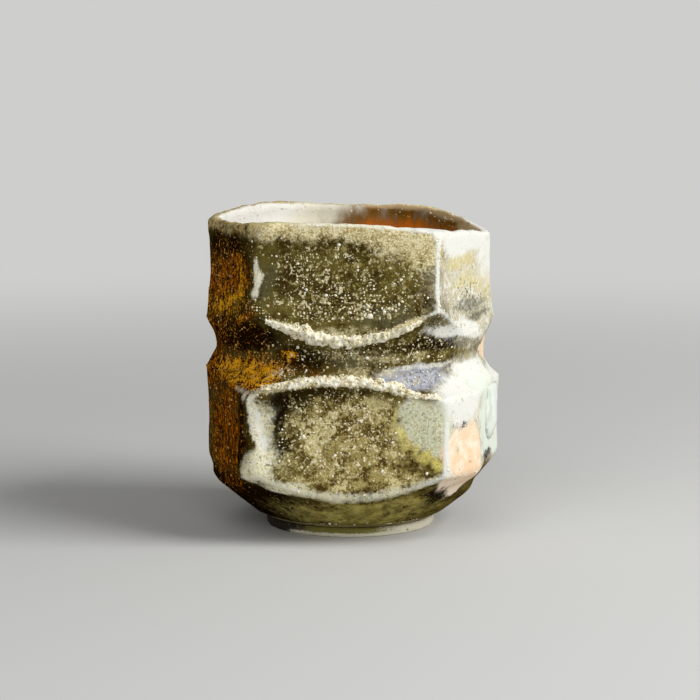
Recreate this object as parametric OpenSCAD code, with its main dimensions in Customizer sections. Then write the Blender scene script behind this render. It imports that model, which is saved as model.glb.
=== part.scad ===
// A sake cup of wood-fired stoneware: a thick thrown wall with a turned waist, cut into hollow
// facets above and below it, coated with ash glaze and set on a low foot ring.
// The cup stands on the plane z = 0, its axis is the z axis and its front faces -y.

/* [Wall] */
// Height of the lip at its highest point
cup_h = 68.6; // [64:0.2:74]
// Radius of the waist at its deepest line
waist_r = 29.4; // [28:0.1:32]
// Height of the waist's deepest line
waist_h = 39; // [37:0.2:41]
// How far the thrown wall stands out from the waist before it is cut
ridge_out = 6.4; // [5.8:0.1:7]
// How far the thrown wall draws in again towards the lip
lip_in = 1.2; // [0:0.1:2]
// How far above the waist the thrown wall starts to draw in
shoulder_up = 15; // [14:0.5:18]
// Radius of the cove above the waist
upper_cove_r = 11; // [9.5:0.5:14]
// Radius of the cove below the waist
lower_cove_r = 6.8; // [6.6:0.1:9]
// Height at which the underside of the clay meets the thrown wall
belly_h = 15.4; // [13:0.2:17]
// Radius of the flat base of clay that the foot ring is luted to
base_r = 18.8; // [18.8:0.1:21]

/* [Lip] */
// Radius of the arch that the lip follows from left to right
lip_arch_r = 190; // [150:5:400]
// How far the arch's crown lies to the left of the axis
lip_crown_x = 8; // [0:0.5:10]
// Fall of the lip from front to back, in degrees
lip_fall = 0.4; // [0:0.1:2]

/* [Facets] */
// Hollow radius of the upper facets
upper_hollow_r = 80; // [60:1:100]
// How far above the waist the upper facets are deepest
upper_cut_up = 19; // [17:0.5:21]
// Hollow radius of the lower facets
lower_hollow_r = 110; // [90:1:140]
// How far below the waist the lower facets are deepest
lower_cut_down = 16; // [14:0.5:18]

/* [Inside] */
// Wall at the waist, glaze included
waist_wall = 3.6; // [3.2:0.1:5.4]
// How far the inside of the lip lies within the waist's outside
mouth_in = 0.6; // [0:0.1:1.4]
// Radius of the bowl between floor and wall
bowl_r = 16; // [10:0.5:20]
// Wall left behind an upper facet, glaze included
facet_wall = 2.4; // [2:0.1:3]
// Floor above the foot, glaze included
floor_t = 5.4; // [4.5:0.1:7]

/* [Foot] */
// Outer radius of the foot ring
foot_r = 18.6; // [17:0.1:18.7]
// Width of the foot ring
foot_w = 5; // [3:0.1:7]
// Height of the foot ring
foot_h = 2.2; // [1.5:0.1:3.5]

/* [Glaze] */
// Thickness of the outer glaze
glaze_t = 0.5; // [0.3:0.05:0.8]
// Thickness of the glaze inside
liner_t = 0.4; // [0.3:0.05:0.7]
// Height of bare clay between the foot and the glaze line
bare_h = 0.9; // [0.5:0.1:2]
// Half thickness of the ash crusts
crust_t = 0.7; // [0.4:0.05:0.9]
// Half width of the upper ash crust
upper_crust_w = 18; // [12:0.5:19]
// Half width of the lower ash crust
lower_crust_w = 19; // [12:0.5:20]
// How far the glaze run stands out from the facet
run_out = 1.6; // [1.2:0.1:2]
// Radius of the glaze run's round
run_r = 8; // [6:0.5:10]
// How far below the waist the glaze run starts
run_down = 6.5; // [5:0.5:11]
// Length of the glaze run
run_l = 16; // [10:0.5:18]
// Direction of the glaze run, in degrees from the front to the right
run_turn = 73; // [66:1:80]
// Radius of the plain grains
grain_r = 0.6; // [0.5:0.05:0.7]

/* [Hidden] */
// Each facet is its direction in degrees from the front to the right, and how far its deepest line
// lies outside the waist, as a share of ridge_out
upper_facets = [[-1, -0.03], [66, -0.08], [112, -0.22], [178, -0.03], [249, -0.23], [292, 0.02]];
lower_facets = [[0, 0], [51, 0.77], [76, 0.34], [116, 0.08], [171, 0.06], [218, 0.22], [254, -0.08],
                [291, 0.17]];
// Each grain is its place across the front as a share of waist_r, its distance from the waist as a
// share of that of its facet's deepest line, and its radius as a share of grain_r
upper_grains = [[0.16, 0.55, 1.5], [0.26, 0.6, 1], [0.02, 0.59, 1.15], [-0.29, 0.84, 1], [0.38, 0.95, 1]];
lower_grains = [[-0.33, 0.94, 1], [-0.11, 1.19, 1.15], [0.08, 0.73, 1], [0.23, 1.4, 1]];

thrown_r = waist_r + ridge_out;
inner_r = waist_r - waist_wall;
mouth_r = waist_r - mouth_in;
shoulder_h = waist_h + shoulder_up;
upper_cut_h = waist_h + upper_cut_up;
lower_cut_h = waist_h - lower_cut_down;
// Slope of the underside, in degrees
underside_a = atan((belly_h - foot_h) / (thrown_r - glaze_t - base_r));
floor_h = foot_h + floor_t;
glaze_line_h = foot_h + bare_h;
// Share of its radius by which a grain's middle stands off the facet
grain_lift = 0.4;
// Spare length that takes a cutting solid clear of the wall
spare = 10;
$fn = 96;
// Sides of the wide rounds, which need more
wide_fn = 360;

// Distance from the axis to the deepest line of a facet
function facet_d(facet) = waist_r + facet[1] * ridge_out;

// Distance from the axis to the bottom of a hollow cut at height z
function hollow_d(facet, hollow_r, cut_h, z) =
    facet_d(facet) + hollow_r - sqrt(hollow_r * hollow_r - (z - cut_h) * (z - cut_h));

// The round tool of one hollow cut, grown by the given amount
module hollow(facet, hollow_r, cut_h, grow) {
    rotate([0, 0, facet[0]])
        translate([0, -(facet_d(facet) + hollow_r), cut_h])
            rotate([0, 90, 0])
                cylinder(r = hollow_r + grow, h = 2 * (thrown_r + spare), center = true, $fn = wide_fn);
}

// Half the wall's section above the waist, drawn in by inset
module upper_section(inset) {
    difference() {
        polygon([
            [0, waist_h],
            [thrown_r - inset, waist_h],
            [thrown_r - inset, shoulder_h],
            [thrown_r - inset - lip_in, cup_h],
            [thrown_r - inset - lip_in, cup_h + spare],
            [0, cup_h + spare]
        ]);
        translate([waist_r + upper_cove_r, waist_h])
            circle(r = upper_cove_r + inset);
    }
}

// Half the wall's section below the waist, drawn in by inset
module lower_section(inset) {
    coat = glaze_t - inset;
    difference() {
        polygon([
            [0, foot_h],
            [base_r + coat / sin(underside_a), foot_h],
            [thrown_r - inset, belly_h + (glaze_t - inset - coat / sin(underside_a)) * tan(underside_a)],
            [thrown_r - inset, waist_h],
            [0, waist_h]
        ]);
        translate([waist_r + lower_cove_r, waist_h])
            circle(r = lower_cove_r + inset);
    }
}

// Everything under the arched lip, lowered by drop
module under_lip(drop) {
    rotate([-lip_fall, 0, 0])
        translate([-lip_crown_x, 0, cup_h - lip_arch_r])
            rotate([90, 0, 0])
                cylinder(r = lip_arch_r - drop, h = 2 * (thrown_r + spare), center = true, $fn = wide_fn);
}

// The cup's outer form without its inside, drawn in by inset
module form(inset) {
    intersection() {
        union() {
            difference() {
                rotate_extrude() upper_section(inset);
                for (facet = upper_facets)
                    hollow(facet, upper_hollow_r, upper_cut_h, inset);
            }
            difference() {
                rotate_extrude() lower_section(inset);
                for (facet = lower_facets)
                    hollow(facet, lower_hollow_r, lower_cut_h, inset);
            }
        }
        under_lip(inset);
    }
}

// Half the section of the inside, let out by grow
module inner_section(grow) {
    mouth_slope = (mouth_r - inner_r) / (cup_h - waist_h);
    intersection() {
        union() {
            translate([0, floor_h - grow])
                square([inner_r - bowl_r, bowl_r + grow]);
            translate([inner_r - bowl_r, floor_h + bowl_r])
                circle(r = bowl_r + grow);
            polygon([
                [0, floor_h + bowl_r],
                [inner_r + grow, floor_h + bowl_r],
                [inner_r + grow, waist_h],
                [mouth_r + grow + mouth_slope * spare, cup_h + spare],
                [0, cup_h + spare]
            ]);
        }
        square([thrown_r, cup_h + spare]);
    }
}

// The inside of the cup, which keeps its distance from the upper facets, let out by grow
module inside(grow) {
    difference() {
        rotate_extrude() inner_section(grow);
        for (facet = upper_facets)
            hollow(facet, upper_hollow_r, upper_cut_h, facet_wall - grow);
    }
}

// The wall and floor of fired clay
module stoneware_body() {
    color([0.55, 0.36, 0.24])
        difference() {
            form(glaze_t);
            inside(liner_t);
        }
}

// The ring that the cup stands on
module foot_ring() {
    color([0.80, 0.76, 0.60])
        rotate_extrude()
            translate([foot_r - foot_w, 0])
                square([foot_w, foot_h]);
}

// The outer coat, over the lip and down to the glaze line
module ash_glaze() {
    color([0.42, 0.40, 0.27])
        difference() {
            form(0);
            form(glaze_t);
            inside(liner_t);
            cylinder(r = thrown_r + spare, h = glaze_line_h);
        }
}

// The coat on the inside
module liner_glaze() {
    color([0.88, 0.87, 0.82])
        difference() {
            intersection() {
                inside(liner_t);
                under_lip(0);
            }
            inside(0);
        }
}

// A shell along one hollow cut, crust_t to each side of it
module hollow_shell(facet, hollow_r, cut_h) {
    difference() {
        hollow(facet, hollow_r, cut_h, crust_t);
        hollow(facet, hollow_r, cut_h, -crust_t);
    }
}

// A ring along a cove, crust_t to each side of it, above or below the waist
module cove_shell(cove_r, above) {
    rotate_extrude()
        intersection() {
            translate([waist_r + cove_r, waist_h])
                difference() {
                    circle(r = cove_r + crust_t);
                    circle(r = cove_r - crust_t);
                }
            translate([0, above ? waist_h : waist_h - cove_r - crust_t])
                square([thrown_r, cove_r + crust_t]);
        }
}

// The slab in front of the axis within a half width
module front_slab(half_w) {
    translate([-half_w, -(thrown_r + spare), 0])
        cube([2 * half_w, thrown_r + spare, cup_h]);
}

// The bead along the lower edge of the upper front facet
module upper_ash_crust() {
    color([0.90, 0.87, 0.74])
        difference() {
            intersection() {
                cove_shell(upper_cove_r, true);
                hollow_shell(upper_facets[0], upper_hollow_r, upper_cut_h);
                front_slab(upper_crust_w);
            }
            form(0);
        }
}

// The bead along the top edge of the lower front facet
module lower_ash_crust() {
    color([0.88, 0.86, 0.76])
        difference() {
            intersection() {
                cove_shell(lower_cove_r, false);
                hollow_shell(lower_facets[0], lower_hollow_r, lower_cut_h);
                front_slab(lower_crust_w);
            }
            form(0);
        }
}

// The thick tear of glass at the lower right
module glaze_run() {
    run_d = facet_d(lower_facets[2]) + run_out - run_r;
    low_h = waist_h - run_down - run_l;
    color([0.82, 0.87, 0.78])
        difference() {
            rotate([0, 0, run_turn])
                translate([0, -run_d, 0]) {
                    translate([0, 0, low_h + run_r])
                        cylinder(r = run_r, h = run_l - run_r, $fn = wide_fn);
                    translate([0, 0, low_h + run_r])
                        sphere(r = run_r, $fn = wide_fn);
                }
            form(0);
        }
}

// One grain, seated on a front facet and standing out of it
module grain(place, facet, hollow_r, cut_h) {
    z = waist_h + place[1] * (cut_h - waist_h);
    r = place[2] * grain_r;
    rotate([0, 0, facet[0]])
        translate([place[0] * waist_r, -hollow_d(facet, hollow_r, cut_h, z) - grain_lift * r, z])
            sphere(r = r);
}

// White grains of stone that have burst through the front facets
module feldspar_grains() {
    color([0.95, 0.94, 0.88])
        difference() {
            union() {
                for (place = upper_grains)
                    grain(place, upper_facets[0], upper_hollow_r, upper_cut_h);
                for (place = lower_grains)
                    grain(place, lower_facets[0], lower_hollow_r, lower_cut_h);
            }
            form(0);
        }
}

stoneware_body();
foot_ring();
ash_glaze();
liner_glaze();
upper_ash_crust();
lower_ash_crust();
glaze_run();
feldspar_grains();
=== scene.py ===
import math
import random

import bmesh
import bpy
import numpy as np
from mathutils import Euler, Matrix, Vector, noise
from mathutils.bvhtree import BVHTree
from mathutils.kdtree import KDTree


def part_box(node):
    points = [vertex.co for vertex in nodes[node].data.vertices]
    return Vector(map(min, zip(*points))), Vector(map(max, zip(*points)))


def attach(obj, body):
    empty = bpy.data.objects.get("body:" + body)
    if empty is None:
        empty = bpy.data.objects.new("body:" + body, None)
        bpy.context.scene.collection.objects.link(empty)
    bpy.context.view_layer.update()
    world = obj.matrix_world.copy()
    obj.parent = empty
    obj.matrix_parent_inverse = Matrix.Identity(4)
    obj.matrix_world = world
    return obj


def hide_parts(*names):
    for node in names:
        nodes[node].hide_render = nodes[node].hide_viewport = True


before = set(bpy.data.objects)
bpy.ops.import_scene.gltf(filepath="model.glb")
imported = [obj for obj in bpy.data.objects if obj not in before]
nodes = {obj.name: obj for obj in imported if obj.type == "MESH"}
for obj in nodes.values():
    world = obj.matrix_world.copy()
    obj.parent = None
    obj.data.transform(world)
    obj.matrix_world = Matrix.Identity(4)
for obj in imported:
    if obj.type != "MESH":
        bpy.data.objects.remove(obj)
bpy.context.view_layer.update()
mm = 0.001


# colours are written as they look on a screen, 0 to 255
def tone(red, green, blue):
    def linear(value):
        share = value / 255
        return share / 12.92 if share <= 0.04045 else ((share + 0.055) / 1.055) ** 2.4
    return (linear(red), linear(green), linear(blue), 1.0)


def tonesOf(settings):
    return {name: tone(*value) for name, value in settings["tones"].items()}


class Wire:
    # one socket that takes part in shader maths
    def __init__(self, shade, socket):
        self.shade = shade
        self.socket = socket

    def maths(self, operation, first, second):
        return self.shade.node("ShaderNodeMath", {"operation": operation}, {0: first, 1: second})

    def __add__(self, other):
        return self.maths("ADD", self, other)

    def __radd__(self, other):
        return self.maths("ADD", other, self)

    def __sub__(self, other):
        return self.maths("SUBTRACT", self, other)

    def __rsub__(self, other):
        return self.maths("SUBTRACT", other, self)

    def __mul__(self, other):
        return self.maths("MULTIPLY", self, other)

    def __rmul__(self, other):
        return self.maths("MULTIPLY", other, self)


class Shade:
    # one material, or the world, and the nodes in it
    def __init__(self, owner):
        self.owner = owner
        owner.use_nodes = True
        self.tree = owner.node_tree
        self.tree.nodes.clear()
        self.where = self.node("ShaderNodeTexCoord", out="Object")

    def node(self, kind, settings=None, sockets=None, out=0):
        made = self.tree.nodes.new(kind)
        for key, value in (settings or {}).items():
            setattr(made, key, value)
        for key, value in (sockets or {}).items():
            if isinstance(value, Wire):
                self.tree.links.new(value.socket, made.inputs[key])
            else:
                made.inputs[key].default_value = value
        return Wire(self, made.outputs[out]) if made.outputs else made

    def paint(self, name):
        return self.node("ShaderNodeAttribute", {"attribute_name": name}, out="Fac")

    def stretched(self, across, up):
        return self.node("ShaderNodeMapping", {}, {"Vector": self.where, "Scale": (across, across, up)})

    # cloudy noise with features of about this size in mm
    def clouds(self, size, detail=3.0, rough=0.55, bend=0.0, where=None):
        return self.node("ShaderNodeTexNoise", {}, {
            "Vector": where or self.where, "Scale": 1 / (size * mm), "Detail": detail,
            "Roughness": rough, "Distortion": bend}, out="Fac")

    def smooth(self, wire, low, high):
        return self.node("ShaderNodeMapRange", {"interpolation_type": "SMOOTHSTEP"},
                         {"Value": wire, "From Min": low, "From Max": high})

    def mix(self, share, first, second):
        return self.node("ShaderNodeMix", {"data_type": "RGBA"}, {0: share, 6: first, 7: second}, out=2)

    # object coordinates that wander by up to this many mm
    def bent(self, amount, size):
        drift = self.node("ShaderNodeTexNoise", {}, {
            "Vector": self.where, "Scale": 1 / (size * mm), "Detail": 2.0}, out="Color")
        drift = self.node("ShaderNodeVectorMath", {"operation": "SUBTRACT"}, {0: drift, 1: (0.5, 0.5, 0.5)})
        drift = self.node("ShaderNodeVectorMath", {"operation": "SCALE"}, {0: drift, "Scale": amount * mm * 2})
        return self.node("ShaderNodeVectorMath", {"operation": "ADD"}, {0: self.where, 1: drift})

    # small specks in cells of this size in mm, more and larger where cover is higher
    def specks(self, size, cover, where=None):
        cell = {"Vector": where or self.where, "Scale": 1 / (size * mm)}
        distance = self.node("ShaderNodeTexVoronoi", {}, cell, out="Distance")
        cellTone = self.node("ShaderNodeTexVoronoi", {}, cell, out="Color")
        chance = self.node("ShaderNodeSeparateColor", {}, {"Color": cellTone}, out="Red")
        reach = self.smooth(chance + cover, 1.0, 1.5) * 0.5
        return self.smooth(reach - distance, -0.04, 0.08)

    # irregular grains of about this size in mm, more of them where cover is higher
    def flecks(self, size, cover, where=None):
        return self.smooth(self.clouds(size, 1.5, 0.5, where=where) + cover, 0.7, 0.76)

    def finish(self, colour, rough, height, depth, coat=0.0, coatRough=0.15, specular=0.5):
        bump = self.node("ShaderNodeBump", {}, {"Strength": 1.0, "Distance": depth * mm, "Height": height})
        surface = self.node("ShaderNodeBsdfPrincipled", {}, {
            "Base Color": colour, "Roughness": rough, "Normal": bump, "Coat Weight": coat,
            "Coat Roughness": coatRough, "Specular IOR Level": specular})
        self.node("ShaderNodeOutputMaterial", {}, {"Surface": surface})
        return self.owner


# mesh helpers
def looseCopy(nodeName):
    copy = bmesh.new()
    copy.from_mesh(nodes[nodeName].data)
    bmesh.ops.remove_doubles(copy, verts=copy.verts, dist=1e-6)
    return copy


def keepPiece(name, shape, replaced, material):
    mesh = bpy.data.meshes.new(name)
    shape.to_mesh(mesh)
    shape.free()
    piece = bpy.data.objects.new(name, mesh)
    bpy.context.scene.collection.objects.link(piece)
    mesh.materials.append(material)
    mesh.polygons.foreach_set("use_smooth", [True] * len(mesh.polygons))
    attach(piece, "root")
    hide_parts(replaced)
    return piece


# an even quad mesh over a shape that may be loose or overlapping
def evenMesh(shape, voxel):
    mesh = bpy.data.meshes.new("raw")
    shape.to_mesh(mesh)
    shape.free()
    raw = bpy.data.objects.new("raw", mesh)
    bpy.context.scene.collection.objects.link(raw)
    remesh = raw.modifiers.new("even", "REMESH")
    remesh.mode = "VOXEL"
    remesh.voxel_size = voxel * mm
    made = bpy.data.meshes.new_from_object(raw.evaluated_get(bpy.context.evaluated_depsgraph_get()))
    bpy.data.objects.remove(raw)
    even = bmesh.new()
    even.from_mesh(made)
    return even


def soften(shape, rounds, factor=0.5):
    for _ in range(rounds):
        bmesh.ops.smooth_vert(shape, verts=shape.verts, factor=factor,
                              use_axis_x=True, use_axis_y=True, use_axis_z=True)


def thicken(piece, amount):
    thick = piece.modifiers.new("thickness", "SOLIDIFY")
    thick.thickness = amount * mm
    thick.offset = -1


def roughness(place, size, seed=0.0, octaves=3):
    return noise.fractal(place * (1 / (size * mm)) + Vector((seed, seed, seed)), 1.0, 2.0, octaves)


def step(value, low, high):
    share = np.clip((value - low) / (high - low), 0, 1)
    return share * share * (3 - 2 * share)


def span(value, rise, fall):
    return step(value, *rise) * (1 - step(value, *fall))


# direction in degrees from the front to the right, and height in mm
def turnOf(places):
    return np.degrees(np.arctan2(places[:, 0], -places[:, 1])), places[:, 2] / mm


# a soft oval on the wall: direction, height, half width in degrees, half height in mm, strength
def ovals(turn, height, spots, soft=0.35):
    cover = np.zeros(len(turn))
    for spotTurn, spotHeight, halfTurn, halfHeight, strength in spots:
        across = (turn - spotTurn + 180) % 360 - 180
        reach = np.hypot(across / halfTurn, (height - spotHeight) / halfHeight)
        cover = np.maximum(cover, strength * (1 - step(reach, 1 - soft, 1 + soft)))
    return cover


# the edges and the lip are not quite level: height in mm, reach in mm, lifts in mm by direction
warpSet = {
    "low": (34.0, 5.0, [(-150, 0), (-120, 1.5), (-90, 2.4), (-70, 1.0), (-55, 0.4), (-45, 0.8), (-38, 1.7),
                        (-33, 2.0), (-28, 2.1), (-20, 1.6), (-10, 0.6), (0, -0.1), (16, 0), (23, -0.25),
                        (29, -0.3), (36, 0)]),
    "high": (47.0, 3.6, [(-45, 0), (-35, 0.5), (-27, 0.1), (-19, 0.5), (-10, 0.7), (0, 0.85), (5, 0.9),
                         (14, 0.4), (19, 0.4), (24, 0.8), (29, 1.5), (34, 1.8), (42, 0.9), (52, 0)]),
    "lip": (69.0, 7.0, [(-180, 0.1), (-165, 0.3), (-140, 1.2), (-120, 1.5), (-95, 1.2), (-75, 0.4), (-60, 0),
                        (85, 0.3), (105, 1.5), (130, 2.0), (150, 1.6), (165, 0.8), (180, 0.1)])}
# the wall turns in sooner low on both sides, as ovals with their depth in mm, on the outside alone
dentSet = {"spots": [(84, 11.8, 44, 2.4, 2.5), (-88, 13, 44, 1.8, 1.2)], "soft": 0.9, "outside": (20, 27)}


def liftAt(spots):
    spotTurn, spotHeight = turnOf(spots)
    total = np.zeros(len(spots))
    for level, reach, lifts in warpSet.values():
        turns, amounts = zip(*lifts)
        total += np.interp(spotTurn, turns, amounts) * np.exp(-((spotHeight - level) / reach) ** 2)
    return total * mm


def warped(shape):
    spots = np.array([vert.co for vert in shape.verts])
    spotTurn, spotHeight = turnOf(spots)
    radius = np.hypot(spots[:, 0], spots[:, 1]) / mm
    dent = ovals(spotTurn, spotHeight, dentSet["spots"], dentSet["soft"]) * step(radius, *dentSet["outside"])
    for vert, rise, sink in zip(shape.verts, liftAt(spots), dent):
        out = Vector((vert.co.x, vert.co.y, 0)).normalized()
        vert.co += Vector((0, 0, rise)) - out * (sink * mm)
    return shape


def storePaint(piece, layers):
    for name, values in layers.items():
        layer = piece.data.attributes.new(name, "FLOAT", "POINT")
        layer.data.foreach_set("value", np.clip(values, 0, 1).astype(np.float32))


# camera at the photograph's viewing angle
cameraSet = {"place": (0, -0.520, 0.110), "aim": (0, 0, 0.0383), "lens": 122}
lens = bpy.data.cameras.new("camera")
lens.lens = cameraSet["lens"]
lens.sensor_width = 36
camera = bpy.data.objects.new("camera", lens)
bpy.context.scene.collection.objects.link(camera)
camera.location = cameraSet["place"]
camera.rotation_euler = (Vector(cameraSet["aim"]) - camera.location).to_track_quat("-Z", "Y").to_euler()
bpy.context.scene.camera = camera
print("camera set")

# wall and coats as one form, and its bare faces alone, without the ones that lie against each other
skinSet = {"voxel": 0.66, "rounds": 5, "touch": 0.08, "sharp": 14, "gap": 0.4, "weld": 0.02, "seamWeld": 0.06}
wallNodes = ["stoneware_body", "ash_glaze", "liner_glaze"]
trees = {}
form = bmesh.new()
for nodeName in wallNodes:
    form.from_mesh(nodes[nodeName].data)
    copy = looseCopy(nodeName)
    trees[nodeName] = BVHTree.FromBMesh(copy)
    copy.free()
bmesh.ops.remove_doubles(form, verts=form.verts, dist=1e-6)
shell = bmesh.new()
for nodeName in wallNodes:
    copy = looseCopy(nodeName)
    others = [trees[other] for other in wallNodes if other != nodeName]
    touching = [face for face in copy.faces if any(
        tree.find_nearest(face.calc_center_median(), skinSet["touch"] * mm)[0] for tree in others)]
    bmesh.ops.delete(copy, geom=touching, context="FACES")
    part = bpy.data.meshes.new("part")
    copy.to_mesh(part)
    copy.free()
    shell.from_mesh(part)
bmesh.ops.remove_doubles(shell, verts=shell.verts, dist=skinSet["weld"] * mm)

# points along the sharp edges of the form
edgePoints = []
for edge in shell.edges:
    if len(edge.link_faces) == 2 and math.degrees(edge.calc_face_angle()) > skinSet["sharp"]:
        first, last = edge.verts[0].co, edge.verts[1].co
        steps = max(1, int((last - first).length / (skinSet["gap"] * mm)))
        edgePoints += [first.lerp(last, (i + 0.5) / steps) for i in range(steps)]
edgeTree = KDTree(len(edgePoints))
edgeLifts = liftAt(np.array(edgePoints))
for index, point in enumerate(edgePoints):
    edgeTree.insert(point + Vector((0, 0, edgeLifts[index])), index)
edgeTree.balance()
shell.free()

# the form as one even skin, with its edges rounded
skin = warped(evenMesh(form, skinSet["voxel"]))
skin.verts.ensure_lookup_table()
homes = [vert.co.copy() for vert in skin.verts]  # places before the edges are rounded
soften(skin, skinSet["rounds"])
print("skin", len(skin.verts), "points,", len(edgePoints), "edge points")

# which coat a point belongs to: 0 bare clay, 1 outer, 2 inner
side = np.array([int(np.argmin([trees[n].find_nearest(home)[3] for n in wallNodes])) for home in homes])
places = np.array([vert.co for vert in skin.verts])
turn, height = turnOf(places)
edgeGap = np.array([edgeTree.find(home)[2] for home in homes]) / mm

# uneven hand-made surface, in mm outwards
formSet = {
    "wave": 0.14, "waveSize": 11, "ripple": 0.05, "rippleSize": 3.2,
    "grit": 0.05, "gritSize": 1.1, "gritNear": 2.5, "gritTurn": 60, "gritPlain": 0.4, "gritMore": 2.2,
    "rim": 0.75, "rimAcross": (15.5, 21), "rimRise": (13, 17), "rimFall": (31, 34), "rimFront": -25,
    "lipNick": 0.22, "nickSize": 4.5, "nickFrom": 63, "nickNear": 2.5,
    "rings": 0.08, "ringPitch": 1.5, "ringDrift": 20}
skin.normal_update()
outer = side == 1
across = places[:, 0] / mm
rimShare = step(-across, *formSet["rimAcross"]) * span(height, formSet["rimRise"], formSet["rimFall"])
rimShare *= (places[:, 1] / mm < formSet["rimFront"]) * outer
grit = np.clip(1 - edgeGap / formSet["gritNear"], 0, 1) * outer * (np.abs(turn) < formSet["gritTurn"])
for index, vert in enumerate(skin.verts):
    home = homes[index]
    lift = formSet["wave"] * roughness(home, formSet["waveSize"], 3.0)
    lift += formSet["ripple"] * roughness(home, formSet["rippleSize"], 7.0)
    gritShare = formSet["gritPlain"] + formSet["gritMore"] * grit[index]
    lift += formSet["grit"] * gritShare * roughness(home, formSet["gritSize"], 11.0)
    if side[index] == 2:
        drift = roughness(home, formSet["ringDrift"], 5.0)
        lift += formSet["rings"] * math.sin(height[index] * formSet["ringPitch"] + drift)
    lift += formSet["rim"] * rimShare[index]
    vert.co += vert.normal * (lift * mm)
    if height[index] > formSet["nickFrom"] and edgeGap[index] < formSet["nickNear"]:
        vert.co.z += formSet["lipNick"] * roughness(Vector((home.x, home.y, 0)), formSet["nickSize"], 21.0) * mm
print("surface shaped")


# clean seams: one a little below the lip on the inside, one just above the foot
seamSet = {"drop": 1.3, "line": 3.1, "wave": 0.3, "waveSize": 6, "upper": 52, "fall": (-8, 380, 0.007)}


# how far the lip lies below its highest place, in mm
def lipFall(place):
    middle, curve, tilt = seamSet["fall"]
    return (place.x / mm - middle) ** 2 / curve + place.y / mm * tilt


def lineWave(place):
    return seamSet["wave"] * roughness(Vector((place.x, place.y, 0)), seamSet["waveSize"], 17.0)


def cutAt(shape, level, shift):
    for vert in shape.verts:
        vert.co.z += shift(vert.co) * mm
    everything = list(shape.verts) + list(shape.edges) + list(shape.faces)
    bmesh.ops.bisect_plane(shape, geom=everything, dist=skinSet["weld"] * mm,
                           plane_co=(0, 0, level * mm), plane_no=(0, 0, 1))
    for vert in shape.verts:
        vert.co.z -= shift(vert.co) * mm


lipTop = 68.6  # mm
cutAt(skin, lipTop - seamSet["drop"], lipFall)
cutAt(skin, seamSet["line"], lineWave)
skin.normal_update()
skin.faces.ensure_lookup_table()


def coatIndex(face):
    middle = face.calc_center_median()
    level = middle.z / mm + lipFall(middle)
    inward = face.normal.x * middle.x + face.normal.y * middle.y < 0
    if level > lipTop - seamSet["drop"]:
        return 1
    if middle.z / mm > seamSet["upper"]:
        return 2 if inward else 1
    nearest = int(np.argmin([trees[n].find_nearest(middle)[3] for n in wallNodes]))
    if nearest == 2:
        return 2
    return 1 if middle.z / mm + lineWave(middle) > seamSet["line"] else 0


faceSide = [coatIndex(face) for face in skin.faces]


def coatOf(which):
    coat = skin.copy()
    coat.faces.ensure_lookup_table()
    away = [face for face, owner in zip(coat.faces, faceSide) if owner != which]
    bmesh.ops.delete(coat, geom=away, context="FACES")
    bmesh.ops.remove_doubles(coat, verts=coat.verts, dist=skinSet["seamWeld"] * mm)
    for edge in coat.edges:
        edge.smooth = not edge.is_boundary
    return coat


# where each point lies for painting: places wander a little, and more on the sides the photo does not show
paintSet = {"near": 6, "far": 13, "unseen": (76, 112), "aside": 16, "above": 9, "upright": 0.25}


def skinPaint(piece, warp=3.0, loose=1.0):
    spots = np.array([vert.co for vert in piece.data.vertices])
    spotTurn, spotHeight = turnOf(spots)
    unseen = step(np.abs(spotTurn), *paintSet["unseen"]) * loose
    kinds = ((paintSet["near"], 31.0), (paintSet["near"], 37.0), (paintSet["far"], 33.0), (paintSet["far"], 39.0))
    wander = np.array([[roughness(Vector(p), size, seed) for size, seed in kinds] for p in spots])
    gaps = np.array([edgeTree.find(Vector(p))[2] for p in spots]) / mm
    aside = wander[:, 0] * warp + wander[:, 2] * unseen * paintSet["aside"]
    above = wander[:, 1] * warp * paintSet["upright"] + wander[:, 3] * unseen * paintSet["above"]
    return spots, spotTurn + aside, spotHeight + above, gaps


# inner glaze, whose colours also run over the lip
linerSet = {
    "thick": 0.3, "soft": 0.5,
    "tones": {"white": (230, 228, 220), "beige": (222, 216, 194), "amber": (206, 104, 6), "brown": (112, 76, 22),
              "pool": (150, 150, 104), "tan": (186, 158, 118)},
    "beige": [(-172, 62, 26, 8, 0.8), (180, 30, 90, 20, 0.5), (-178, 67, 20, 3, 0.6)],
    "tan": [(150, 68.4, 26, 0.9, 1), (118, 67, 22, 1.0, 1), (96, 65, 16, 1.2, 1)],
    "amber": [(154, 62, 34, 8.4, 1), (112, 60.6, 36, 9, 1), (136, 51, 40, 13, 0.85)],
    "glow": [(152, 60.2, 30, 4.8, 0.95), (112, 58, 32, 5, 0.85), (132, 52, 26, 8, 0.5)],
    "pool": [(0, 8, 181, 5, 1)]}
linerLayers = ("beige", "tan", "amber", "glow", "pool")


def linerColour(shade):
    colours = tonesOf(linerSet)
    cloud = shade.clouds(4.0, 4)
    run = shade.clouds(2.2, 3, where=shade.stretched(1.0, 0.22))

    def edged(name, breakUp=0.4, hard=0.35):
        cover = shade.paint(name) + (cloud - 0.5) * breakUp + (run - 0.5) * breakUp
        return shade.smooth(cover, 0.5 - hard, 0.5 + hard)

    colour = shade.mix(shade.smooth(run, 0.5, 0.8) * 0.4, colours["white"], colours["beige"])
    colour = shade.mix(edged("beige"), colour, colours["beige"])
    amberTone = shade.mix(shade.smooth(shade.paint("glow") + (run - 0.5) * 1.3, 0.1, 1.1),
                          colours["brown"], colours["amber"])
    colour = shade.mix(edged("amber", 0.8, 0.48), colour, amberTone)
    colour = shade.mix(edged("pool", 0.3, 0.3), colour, colours["pool"])
    colour = shade.mix(edged("tan", 0.3, 0.45), colour, colours["tan"])
    return shade.mix(shade.specks(1.2, 0.3) * 0.4, colour, colours["brown"])


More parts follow.
